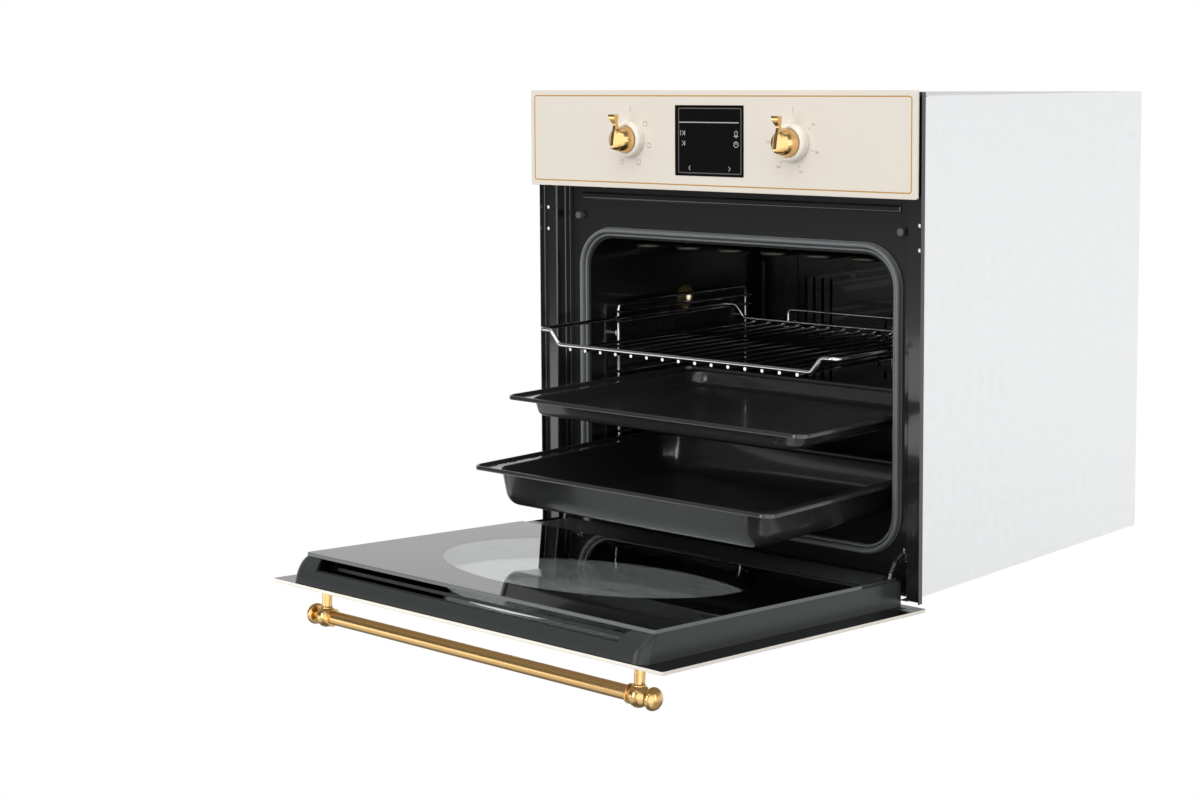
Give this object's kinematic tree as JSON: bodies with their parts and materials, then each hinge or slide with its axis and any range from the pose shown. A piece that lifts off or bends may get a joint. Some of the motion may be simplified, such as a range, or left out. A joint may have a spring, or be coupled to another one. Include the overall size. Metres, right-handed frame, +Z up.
{
  "type": "built-in oven",
  "caption": "Built-in electric oven with a drop-down glass door, rail handle, rotary dials, wire shelf, trays, heaters and fans in a steel casing.",
  "frame": {"origin": "underside of the casing, mid-width, in the plane of the cabinet's front edge", "axes": "+X to the right seen from the front, +Y into the niche, +Z up; the front faces -Y"},
  "size_m": [0.595, 1.0285, 0.6179],
  "materials": {
    "cream_glass": "glossy, cream print behind the glass",
    "cream_plastic": "satin moulded",
    "display_glass": "glossy black",
    "dark_glass": "glossy, black print round a clear window",
    "clear_glass": "clear",
    "black_enamel": "glossy vitreous enamel on steel sheet",
    "brushed_gold": "brushed and lacquered gold tone",
    "chrome_wire": "chrome plated wire",
    "zinc_steel": "zinc coated steel sheet",
    "bright_steel": "bright plated steel",
    "heater_steel": "dark oxidised heater tube",
    "seal_rubber": "matte grey silicone",
    "mineral_wool": "matted mineral fibre",
    "black_plastic": "moulded",
    "motor_steel": "plain motor steel",
    "white_ceramic": "fired ceramic"
  },
  "bodies": {
    "oven_body": {"fascia_panel": "cream_glass", "left_knob_bezel": "cream_plastic", "right_knob_bezel": "cream_plastic", "display_glass": "display_glass", "lamp_bulb": "clear_glass", "lamp_lens": "clear_glass", "front_frame": "black_enamel", "cavity": "black_enamel", "fan_baffle": "black_enamel", "left_side_rack": "chrome_wire", "right_side_rack": "chrome_wire", "rack_studs": "chrome_wire", "base_pan": "zinc_steel", "left_side_panel": "zinc_steel", "right_side_panel": "zinc_steel", "top_cover": "zinc_steel", "back_cover": "zinc_steel", "blower_housing": "zinc_steel", "hinge_receivers": "zinc_steel", "hinge_levers": "bright_steel", "rear_screws": "bright_steel", "grill_clips": "bright_steel", "temperature_probe": "bright_steel", "grill_element": "heater_steel", "bottom_element": "heater_steel", "ring_element": "heater_steel", "cavity_gasket": "seal_rubber", "door_bumpers": "seal_rubber", "insulation": "mineral_wool", "fascia_carrier": "black_plastic", "display_module": "black_plastic", "function_switch": "black_plastic", "thermostat": "black_plastic", "terminal_block": "black_plastic", "fan_motor": "motor_steel", "blower_motor": "motor_steel", "lamp_holder": "white_ceramic"},
    "door": {"door_outer_glass": "cream_glass", "door_frame": "black_enamel", "door_middle_glass": "dark_glass", "glass_rails": "black_plastic", "door_inner_glass": "dark_glass", "hinge_cases": "bright_steel", "hinge_pins": "bright_steel", "left_handle_post": "brushed_gold", "right_handle_post": "brushed_gold", "handle_bar": "brushed_gold", "handle_caps": "brushed_gold", "handle_nuts": "bright_steel"},
    "function_dial": {"function_knob": "brushed_gold", "function_spindle": "bright_steel"},
    "temperature_dial": {"temperature_knob": "brushed_gold", "temperature_spindle": "bright_steel"},
    "convection_fan": {"fan_wheel": "zinc_steel"},
    "cooling_fan": {"blower_wheel": "black_plastic"},
    "wire_shelf": {"shelf_frame": "chrome_wire", "shelf_grid": "chrome_wire"},
    "baking_drawer": {"baking_tray": "black_enamel"},
    "roasting_drawer": {"roasting_tray": "black_enamel"}
  },
  "joints": [
    {"name": "door_swing", "type": "hinge", "parent": "oven_body", "child": "door", "pos_m": [0, -0.008, 0.005], "axis": [1, 0, 0], "range_deg": [-86.45, 0]},
    {"name": "shelf_slide", "type": "slide", "parent": "oven_body", "child": "wire_shelf", "axis": [0, 1, 0], "range_m": [0, 0.122]},
    {"name": "baking_slide", "type": "slide", "parent": "oven_body", "child": "baking_drawer", "axis": [0, 1, 0], "range_m": [0, 0.186]},
    {"name": "roasting_slide", "type": "slide", "parent": "oven_body", "child": "roasting_drawer", "axis": [0, 1, 0], "range_m": [0, 0.268]},
    {"name": "function_turn", "type": "hinge", "parent": "oven_body", "child": "function_dial", "pos_m": [-0.126, -0.03, 0.52575], "axis": [0, 1, 0], "continuous": true},
    {"name": "temperature_turn", "type": "hinge", "parent": "oven_body", "child": "temperature_dial", "pos_m": [0.126, -0.03, 0.52575], "axis": [0, 1, 0], "range_deg": [0, 285]},
    {"name": "convection_spin", "type": "hinge", "parent": "oven_body", "child": "convection_fan", "pos_m": [0, 0.44, 0.224], "axis": [0, 1, 0], "continuous": true},
    {"name": "cooling_spin", "type": "hinge", "parent": "oven_body", "child": "cooling_fan", "pos_m": [0, 0.35, 0.4602], "axis": [1, 0, 0], "continuous": true}
  ],
  "couplings": [
    {"joint": "shelf_slide", "follows": "door_swing", "m_per_rad": -0.08078},
    {"joint": "baking_slide", "follows": "door_swing", "m_per_rad": -0.12315},
    {"joint": "roasting_slide", "follows": "door_swing", "m_per_rad": -0.17744}
  ]
}
